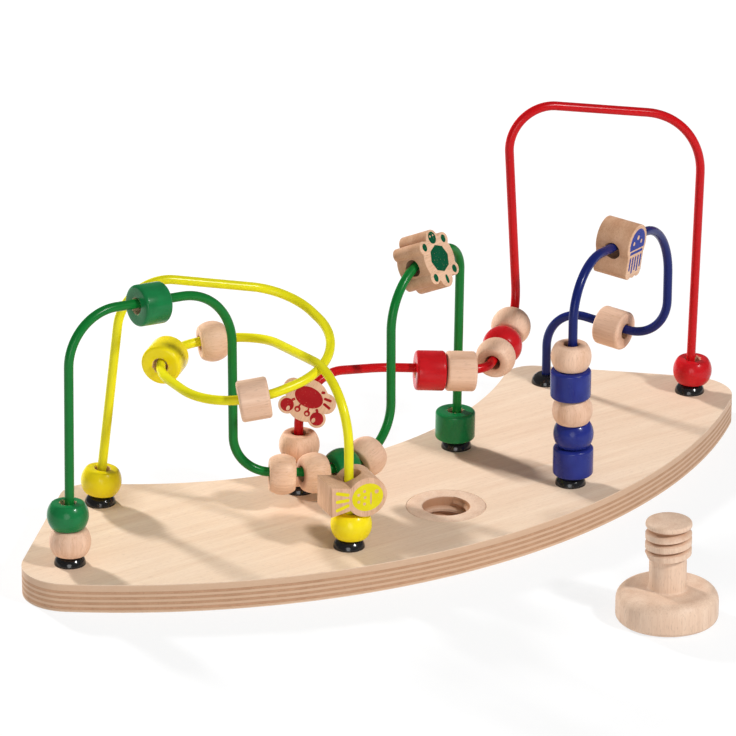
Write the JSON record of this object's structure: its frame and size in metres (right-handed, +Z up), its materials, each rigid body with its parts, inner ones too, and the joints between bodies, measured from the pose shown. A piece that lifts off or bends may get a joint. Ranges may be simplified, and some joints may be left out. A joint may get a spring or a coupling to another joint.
{
  "type": "bead maze",
  "caption": "Tray-top bead maze: bent coloured wires carry sliding wooden beads and sea-animal figures over a curved plywood base, with a wooden clamp screw.",
  "frame": {"origin": "on the axis of the screw hole, at the underside of the base", "axes": "+X along the base to the right, +Y towards its hollow rear edge, +Z up"},
  "size_m": [0.4408, 0.303, 0.191],
  "materials": {
    "plywood": "satin",
    "turned_beech": "satin",
    "figure_beech": "satin",
    "green_paint": "gloss",
    "yellow_paint": "gloss",
    "red_paint": "gloss",
    "blue_paint": "gloss",
    "green_wire": "gloss",
    "yellow_wire": "gloss",
    "red_wire": "gloss",
    "blue_wire": "gloss",
    "black_plastic": "gloss"
  },
  "bodies": {
    "maze": {"base_board": "plywood", "threaded_insert": "turned_beech", "cap_green_left": "black_plastic", "cap_green_right": "black_plastic", "cap_yellow_rear": "black_plastic", "cap_yellow_front": "black_plastic", "cap_red_left": "black_plastic", "cap_red_right": "black_plastic", "cap_blue_front": "black_plastic", "cap_blue_rear": "black_plastic", "wire_green": "green_wire", "wire_yellow": "yellow_wire", "wire_red": "red_wire", "wire_blue": "blue_wire"},
    "green_foot_wood_ball": {"green_foot_wood_ball": "turned_beech"},
    "green_foot_ball": {"green_foot_ball": "green_paint"},
    "green_arch_drum": {"green_arch_drum": "green_paint"},
    "green_dip_wood_ball_a": {"green_dip_wood_ball_a": "turned_beech"},
    "green_dip_wood_ball_b": {"green_dip_wood_ball_b": "turned_beech"},
    "green_dip_ball": {"green_dip_ball": "green_paint"},
    "green_dip_wood_ball_c": {"green_dip_wood_ball_c": "turned_beech"},
    "turtle": {"turtle": "figure_beech"},
    "green_right_drum": {"green_right_drum": "green_paint"},
    "yellow_rear_ball": {"yellow_rear_ball": "yellow_paint"},
    "yellow_loop_wood_drum": {"yellow_loop_wood_drum": "turned_beech"},
    "yellow_loop_drum": {"yellow_loop_drum": "yellow_paint"},
    "yellow_loop_wood_ball": {"yellow_loop_wood_ball": "turned_beech"},
    "yellow_front_ball": {"yellow_front_ball": "yellow_paint"},
    "fish": {"fish": "figure_beech"},
    "red_left_wood_ball_a": {"red_left_wood_ball_a": "turned_beech"},
    "red_left_wood_ball_b": {"red_left_wood_ball_b": "turned_beech"},
    "crab": {"crab": "figure_beech"},
    "red_run_drum": {"red_run_drum": "red_paint"},
    "red_run_wood_drum": {"red_run_wood_drum": "turned_beech"},
    "red_bend_wood_ball_a": {"red_bend_wood_ball_a": "turned_beech"},
    "red_bend_ball": {"red_bend_ball": "red_paint"},
    "red_bend_wood_ball_b": {"red_bend_wood_ball_b": "turned_beech"},
    "red_right_ball": {"red_right_ball": "red_paint"},
    "blue_stack_drum_a": {"blue_stack_drum_a": "blue_paint"},
    "blue_stack_ball": {"blue_stack_ball": "blue_paint"},
    "blue_stack_wood_ball_a": {"blue_stack_wood_ball_a": "turned_beech"},
    "blue_stack_drum_b": {"blue_stack_drum_b": "blue_paint"},
    "blue_stack_wood_ball_b": {"blue_stack_wood_ball_b": "turned_beech"},
    "jellyfish": {"jellyfish": "figure_beech"},
    "blue_low_wood_drum": {"blue_low_wood_drum": "turned_beech"},
    "hand_screw": {"hand_screw": "turned_beech"}
  },
  "joints": [
    {"name": "green_foot_wood_ball_slide", "type": "slide", "parent": "maze", "child": "green_foot_wood_ball", "axis": [0.0356, 0.0252, 0.999], "range_m": [0, 0.03]},
    {"name": "green_foot_ball_slide", "type": "slide", "parent": "green_foot_wood_ball", "child": "green_foot_ball", "axis": [0.0356, 0.0252, 0.999], "range_m": [0, 0.03]},
    {"name": "green_arch_drum_slide", "type": "slide", "parent": "maze", "child": "green_arch_drum", "axis": [0.9966, 0.0124, -0.0811], "range_m": [-0.01, 0.01]},
    {"name": "green_dip_wood_ball_a_spin", "type": "hinge", "parent": "maze", "child": "green_dip_wood_ball_a", "pos_m": [-0.07312, 0.04155, 0.03584], "axis": [0.8627, -0.5033, -0.0495], "continuous": true},
    {"name": "green_dip_wood_ball_b_spin", "type": "hinge", "parent": "maze", "child": "green_dip_wood_ball_b", "pos_m": [-0.05795, 0.03512, 0.03523], "axis": [0.965, -0.2575, -0.0494], "continuous": true},
    {"name": "green_dip_ball_round_bend", "type": "hinge", "parent": "maze", "child": "green_dip_ball", "pos_m": [-0.04418, 0.08649, 0.03664], "axis": [0.046, -0.0195, 0.9988], "range_deg": [0, 1]},
    {"name": "green_dip_wood_ball_c_round_bend", "type": "hinge", "parent": "maze", "child": "green_dip_wood_ball_c", "pos_m": [-0.03145, 0.03461, 0.06042], "axis": [0.2029, -0.9792, 0], "range_deg": [0, 40]},
    {"name": "turtle_round_bend", "type": "hinge", "parent": "maze", "child": "turtle", "pos_m": [0.02244, 0.05, 0.09915], "axis": [-0.3323, 0.9432, 0], "range_deg": [-35, 0]},
    {"name": "green_right_drum_slide", "type": "slide", "parent": "maze", "child": "green_right_drum", "axis": [0.0178, 0.0017, 0.9998], "range_m": [0, 0.014]},
    {"name": "yellow_rear_ball_slide", "type": "slide", "parent": "maze", "child": "yellow_rear_ball", "axis": [0.11, -0.052, 0.9926], "range_m": [0, 0.06]},
    {"name": "yellow_loop_wood_drum_round_bend", "type": "hinge", "parent": "maze", "child": "yellow_loop_wood_drum", "pos_m": [-0.08727, 0.05303, 0.09695], "axis": [0.1794, 0.0381, -0.983], "range_deg": [-10, 48]},
    {"name": "yellow_loop_drum_round_bend", "type": "hinge", "parent": "maze", "child": "yellow_loop_drum", "pos_m": [-0.09248, 0.06584, 0.09205], "axis": [0.0413, 0.0444, -0.9982], "range_deg": [-32, 25]},
    {"name": "yellow_loop_wood_ball_round_bend", "type": "hinge", "parent": "maze", "child": "yellow_loop_wood_ball", "pos_m": [-0.09057, 0.06712, 0.0969], "axis": [0.0104, -0.11, -0.9939], "range_deg": [0, 58]},
    {"name": "yellow_front_ball_slide", "type": "slide", "parent": "maze", "child": "yellow_front_ball", "axis": [0, 0, 1], "range_m": [0, 0.006]},
    {"name": "fish_slide", "type": "slide", "parent": "yellow_front_ball", "child": "fish", "axis": [0, 0, 1], "range_m": [0, 0.006]},
    {"name": "red_left_wood_ball_a_spin", "type": "hinge", "parent": "maze", "child": "red_left_wood_ball_a", "pos_m": [-0.05132, 0.05989, 0.02705], "axis": [0, 0, 1], "continuous": true},
    {"name": "red_left_wood_ball_b_spin", "type": "hinge", "parent": "maze", "child": "red_left_wood_ball_b", "pos_m": [-0.05059, 0.05909, 0.04085], "axis": [0, 0, 1], "continuous": true},
    {"name": "crab_round_bend", "type": "hinge", "parent": "maze", "child": "crab", "pos_m": [-0.02617, 0.06169, 0.05079], "axis": [-0.0599, 0.9982, 0], "range_deg": [-1, 25]},
    {"name": "red_run_wood_drum_slide", "type": "slide", "parent": "maze", "child": "red_run_wood_drum", "axis": [0.8791, -0.4718, -0.0681], "range_m": [-0.0045, 0]},
    {"name": "red_run_drum_slide", "type": "slide", "parent": "red_run_wood_drum", "child": "red_run_drum", "axis": [0.8791, -0.4718, -0.0681], "range_m": [-0.0045, 0]},
    {"name": "red_bend_wood_ball_a_spin", "type": "hinge", "parent": "maze", "child": "red_bend_wood_ball_a", "pos_m": [0.06611, 0.04774, 0.066], "axis": [0.7743, 0.6239, 0.1054], "continuous": true},
    {"name": "red_bend_ball_spin", "type": "hinge", "parent": "maze", "child": "red_bend_ball", "pos_m": [0.0768, 0.05635, 0.06746], "axis": [0.7743, 0.6239, 0.1054], "continuous": true},
    {"name": "red_bend_wood_ball_b_round_bend", "type": "hinge", "parent": "maze", "child": "red_bend_wood_ball_b", "pos_m": [0.08383, 0.06323, 0.08994], "axis": [0.6229, -0.7809, 0.0466], "range_deg": [0, 42]},
    {"name": "red_right_ball_slide", "type": "slide", "parent": "maze", "child": "red_right_ball", "axis": [-0.0028, -0.0379, 0.9993], "range_m": [0, 0.09]},
    {"name": "blue_stack_drum_a_slide", "type": "slide", "parent": "maze", "child": "blue_stack_drum_a", "axis": [0, 0, 1], "range_m": [0, 0.002]},
    {"name": "blue_stack_ball_slide", "type": "slide", "parent": "blue_stack_drum_a", "child": "blue_stack_ball", "axis": [0, 0, 1], "range_m": [0, 0.002]},
    {"name": "blue_stack_wood_ball_a_slide", "type": "slide", "parent": "blue_stack_ball", "child": "blue_stack_wood_ball_a", "axis": [0, 0, 1], "range_m": [0, 0.002]},
    {"name": "blue_stack_drum_b_slide", "type": "slide", "parent": "blue_stack_wood_ball_a", "child": "blue_stack_drum_b", "axis": [0, 0, 1], "range_m": [0, 0.002]},
    {"name": "blue_stack_wood_ball_b_slide", "type": "slide", "parent": "blue_stack_drum_b", "child": "blue_stack_wood_ball_b", "axis": [0, 0, 1], "range_m": [0, 0.002]},
    {"name": "jellyfish_slide", "type": "slide", "parent": "maze", "child": "jellyfish", "axis": [0.8944, 0.4368, -0.0959], "range_m": [-0.011, 0.014]},
    {"name": "blue_low_wood_drum_slide", "type": "slide", "parent": "maze", "child": "blue_low_wood_drum", "axis": [-0.3687, 0.9268, 0.0708], "range_m": [-0.0005, 0.009]},
    {"name": "hand_screw_lift", "type": "slide", "parent": "maze", "child": "hand_screw", "axis": [0, 0, 1], "range_m": [0, 0.06]}
  ]
}
